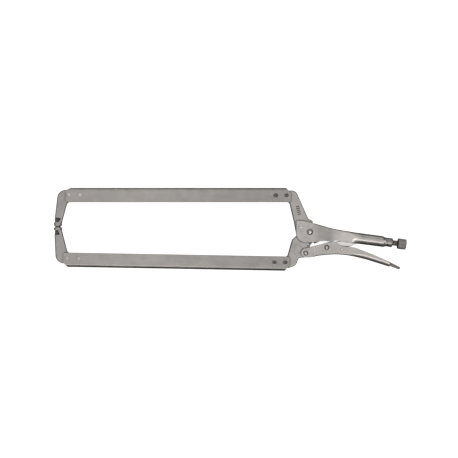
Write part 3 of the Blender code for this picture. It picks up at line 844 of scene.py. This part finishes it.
# --- link, release lever, screw, knob, spring ---------------------------------------------------
def toggle_link(finishes):
    eye = 6.2
    x, y = LINK_PIVOT.x, LINK_PIVOT.y
    thick = node_box("toggle_link")[1].z
    corners = [(x - eye, y + eye, eye), (x - eye, y - eye, eye), (x + 3, y - eye, 4), (484.0, -36.6, 25),
               (504.0, -36.0, 9), (518.8, -30.4, 5), (518.2, -18.6, 5), (x + 2, y + eye, 4)]
    piece = crisp(slab("toggle_link", corners, thick, 0.9))
    return fit(piece, "toggle_link", "bright_link", finishes["bright"], "toggle_link")


def release_lever(finishes):
    """Arm inside the lever; its tail is notched for the finger."""
    x, y = RELEASE_PIVOT.x, RELEASE_PIVOT.y
    eye = 3.5
    thick = node_box("release_lever")[1].z
    tail_start, tail_end = Vector((576.0, -62.9)), Vector((590.5, -70.2))
    notches = []
    for i in range(7):
        at = tail_end.lerp(tail_start, (i + 0.5) / 7)
        notches += [(at.x + 0.45, at.y - 0.2, 0), (at.x, at.y - 0.65, 0), (at.x - 0.45, at.y + 0.25, 0)]
    corners = [(x - eye, y - eye, eye), (498.0, -46.6, 10), (530.0, -53.7, 60), (574.7, -67.3, 0),
               (575.5, -69.2, 0), (590.6, -75.5, 3), (594.2, -71.8, 2.2)] + notches
    corners += [(574.6, -62.4, 0), (523.0, -42.2, 60), (510.0, -39.0, 10), (499.0, -38.3, 5),
                (x - eye, y + eye, eye)]
    piece = crisp(slab("release_lever", corners, thick, 0.3, segments=2, spare=-0.3))
    return fit(piece, "release_lever", "dark_steel", finishes["dark"], "release_lever")


def along_screw():
    """Z runs out along the adjusting screw from SCREW_ORIGIN."""
    return Matrix.Translation(SCREW_ORIGIN) @ SCREW_AXIS.to_track_quat("Z", "Y").to_matrix().to_4x4()


def surface_rows(profile, sides, radius_at):
    """Closed turned solid whose radius varies round and along; profile gives (radius, height)."""
    work = bmesh.new()
    rows = [[work.verts.new((0, 0, profile[0][1]))] * sides]
    for radius, height in profile:
        row = []
        for i in range(sides):
            angle = 2 * math.pi * i / sides
            r = radius_at(radius, height, angle)
            row.append(work.verts.new((r * math.cos(angle), r * math.sin(angle), height)))
        rows.append(row)
    rows.append([work.verts.new((0, 0, profile[-1][1]))] * sides)
    for row, after in zip(rows, rows[1:]):
        for i in range(sides):
            j = (i + 1) % sides
            work.faces.new(list(dict.fromkeys((row[i], row[j], after[j], after[i]))))
    return work


def adjusting_screw(finishes):
    """Right-hand thread of 1.5 mm pitch."""
    pitch, depth, radius = 1.5, 0.85, 4.9
    start, end = 5.0, 76.6
    per_pitch = 6
    count = round((end - start) / pitch * per_pitch)

    def thread(r, height, angle):
        phase = (height / pitch - angle / (2 * math.pi)) % 1.0
        tooth = abs(2 * phase - 1)
        runout = min(1, (height - start) / 1.0, (end - height) / 1.0)
        return r - depth * (1 - min(1.15 * tooth, 1)) - 0.9 * (1 - max(runout, 0))

    profile = [(radius, start + (end - start) * i / count) for i in range(count + 1)]
    piece = finish_mesh("adjusting_screw", surface_rows(profile, 36, thread), along_screw(), sharp=60)
    return fit(piece, "adjusting_screw", "screw_steel", finishes["screw"], "adjusting_screw")


def adjusting_knob(finishes):
    """Knob with crossed knurling between two chamfers, open where the screw enters."""
    radius = 9.2
    start, end = 65.4, 80.3
    teeth, depth, lead = 34, 0.55, 26.0

    def knurl(r, height, angle):
        if r < radius:
            return r
        first = abs(((teeth * angle / (2 * math.pi) + height * teeth / lead / 3) % 1.0) * 2 - 1)
        second = abs(((teeth * angle / (2 * math.pi) - height * teeth / lead / 3) % 1.0) * 2 - 1)
        return r - depth * max(1 - 1.4 * first, 1 - 1.4 * second, 0)

    rows = [(5.2, start + 11.6), (5.2, start), (7.6, start), (8.6, start + 0.35),
            (radius - 0.2, start + 1.1)]
    steps = 44
    rows += [(radius, start + 1.3 + (end - start - 3.1) * i / steps) for i in range(steps + 1)]
    rows += [(radius - 0.25, end - 1.5), (8.3, end - 0.5), (7.4, end - 0.05), (3.4, end), (3.0, end - 0.5)]
    piece = finish_mesh("adjusting_knob", surface_rows(rows, 204, knurl), along_screw(), sharp=50)
    return fit(piece, "adjusting_knob", "screw_steel", finishes["knob"], "adjusting_knob")


def threaded_bush(finishes):
    profile = [(5.2, 36), (6.9, 36), (6.9, 45.0), (7.35, 45.1), (7.7, 45.5), (7.7, 46.8), (7.2, 47.2),
               (7.2, 47.9), (7.75, 48.3), (7.8, 54.9), (7.5, 55.7), (6.7, 56.4), (5.9, 56.5), (5.2, 55.8)]
    piece = lathe("threaded_bush", profile, along_screw(), ring=True)
    return fit(piece, "fixed_frame", "rivet_steel", finishes["knob"], "threaded_bush")


def return_spring(finishes):
    """Close helix between a hook through the moving jaw and a hook in the handle's ear."""
    start, end = Vector((433.8, -31.6, 0)), Vector((478.0, -12.5, 0))
    along = (end - start).normalized()
    across = Vector((-along.y, along.x, 0))
    length = (end - start).length
    coil_from, coil_to, radius, turns, per_turn = 9.5, 42.0, 3.2, 20, 20
    front, rear = 3.1, 2.2
    stops = [(2.6, 0, -front), (1.4, 0, -front), (0.5, 0, -front + 0.3), (0.1, 0, -front + 1.0), (0, 0, 0),
             (0.1, 0, front - 1.0), (0.5, 0, front - 0.3), (1.4, 0, front), (4.5, 0, front + 0.1)]
    for step in range(turns * per_turn + 1):
        share = step / (turns * per_turn)
        angle = 2 * math.pi * step / per_turn
        stops.append((coil_from + share * (coil_to - coil_from), radius * math.sin(angle),
                      radius * math.cos(angle)))
    stops += [(length - 3.4, 0, rear + 0.1), (length - 1.2, 0, rear), (length - 0.4, 0, rear - 0.4),
              (length, 0, 0), (length - 0.4, 0, -rear + 0.4), (length - 1.2, 0, -rear),
              (length - 2.4, 0, -rear)]
    path = [start + along * u + across * v + Vector((0, 0, w)) for u, v, w in stops]
    piece = wire("return_spring", path, 0.55, sides=10)
    piece.data.materials.append(finishes["spring"])
    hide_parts("return_spring")
    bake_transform(piece)
    return piece


# --- studio -------------------------------------------------------------------------------------
def area_light(name, place, target, size, power):
    data = bpy.data.lights.new(name, "AREA")
    data.shape = "RECTANGLE"
    data.size, data.size_y = size
    data.energy = power
    lamp = bpy.data.objects.new(name, data)
    lamp.location = place
    lamp.rotation_euler = (Vector(target) - Vector(place)).to_track_quat("-Z", "Y").to_euler()
    bpy.context.scene.collection.objects.link(lamp)


def studio():
    """Pale floor that emits light, painted darker as a contact shadow where the clamp occludes it, under a
    soft overhead light, with darker surroundings at the sides.
    """
    world = bpy.data.worlds.new("studio")
    bpy.context.scene.world = world
    world.use_nodes = True
    nodes, links = world.node_tree.nodes, world.node_tree.links
    direction = nodes.new("ShaderNodeTexCoord")
    split = nodes.new("ShaderNodeVectorMath")
    split.operation = "DOT_PRODUCT"
    split.inputs[1].default_value = (0.22, -0.04, 1.0)
    ramp = nodes.new("ShaderNodeValToRGB")
    ramp.color_ramp.elements[0].position = 0.30
    ramp.color_ramp.elements[0].color = (0.11, 0.11, 0.108, 1)
    ramp.color_ramp.elements[1].position = 0.95
    ramp.color_ramp.elements[1].color = (0.48, 0.475, 0.47, 1)
    links.new(direction.outputs["Generated"], split.inputs[0])
    links.new(split.outputs["Value"], ramp.inputs[0])
    links.new(ramp.outputs[0], nodes["Background"].inputs["Color"])

    middle = (cad_box[0][0] + cad_box[1][0]) / 2
    area_light("key", (middle + 0.3, -2.1, 4.2), (middle, 0, 0), (5.0, 1.1), 56)
    area_light("fill", (middle + 0.1, 1.3, 4.8), (middle, 0, 0), (3.2, 3.2), 20)
    area_light("rim", (middle + 3.4, 0.2, 2.2), (middle, 0, 0), (1.6, 3.0), 22)
    area_light("back", (middle, 3.6, 1.3), (middle, 0, 0), (5.0, 1.2), 26)

    floor_mesh = bpy.data.meshes.new("floor")
    reach = 6.0
    corners = [(-reach, -reach, 0), (reach, -reach, 0), (reach, reach, 0), (-reach, reach, 0)]
    floor_mesh.from_pydata(corners, [], [(0, 1, 2, 3)])
    floor = bpy.data.objects.new("floor", floor_mesh)
    floor.location.z = (FLOOR - 0.05) * MM
    bpy.context.scene.collection.objects.link(floor)
    pale = Finish("pale_floor")
    # painted shadow: the floor's emission turns near black where the clamp occludes it, a contact shadow
    # painted into its colour
    open_sky = pale.node("ShaderNodeAmbientOcclusion", {"samples": 16}, {"Distance": 0.006}, output="AO")
    glow_with_painted_shadow = pale.mix(open_sky.above(0.30, 0.20), (0.05, 0.048, 0.045, 1), (1, 1, 1, 1))
    pale.set(Base_Color=(0.35, 0.35, 0.35, 1), Roughness=0.9, Emission_Color=glow_with_painted_shadow, Emission_Strength=1.0)
    floor_mesh.materials.append(pale.material)
    floor.visible_glossy = False
    floor.visible_diffuse = False


def camera():
    """Straight above the clamp, level with its length."""
    view_width, distance, sensor = 0.7939, 2.0, 36.0
    data = bpy.data.cameras.new("camera")
    data.sensor_width = sensor
    data.lens = sensor * distance / view_width
    data.clip_end = 50
    eye = bpy.data.objects.new("camera", data)
    eye.location = (0.2964, -0.0052, distance)
    bpy.context.scene.collection.objects.link(eye)
    bpy.context.scene.camera = eye


finishes = make_finishes()
upper_frame, lower_frame = rail_frames()
rail("upper_rail", "fixed_frame", upper_frame, 2.0, (8.2, 4.6), finishes["rail"])
rail("lower_rail", "moving_jaw", lower_frame, 0.5, (7.4, 6.0), finishes["rail"])
rail_rivets(finishes)
upper_jaw_tip(finishes)
lower_jaw_tip(finishes)
fixed_jaw(finishes)
moving_jaw(finishes)
fixed_handle(finishes)
lever_handle(finishes)
toggle_link(finishes)
release_lever(finishes)
adjusting_screw(finishes)
adjusting_knob(finishes)
threaded_bush(finishes)
pivot_rivets(finishes)
return_spring(finishes)
studio()
camera()
bpy.context.scene.view_settings.view_transform = "Standard"
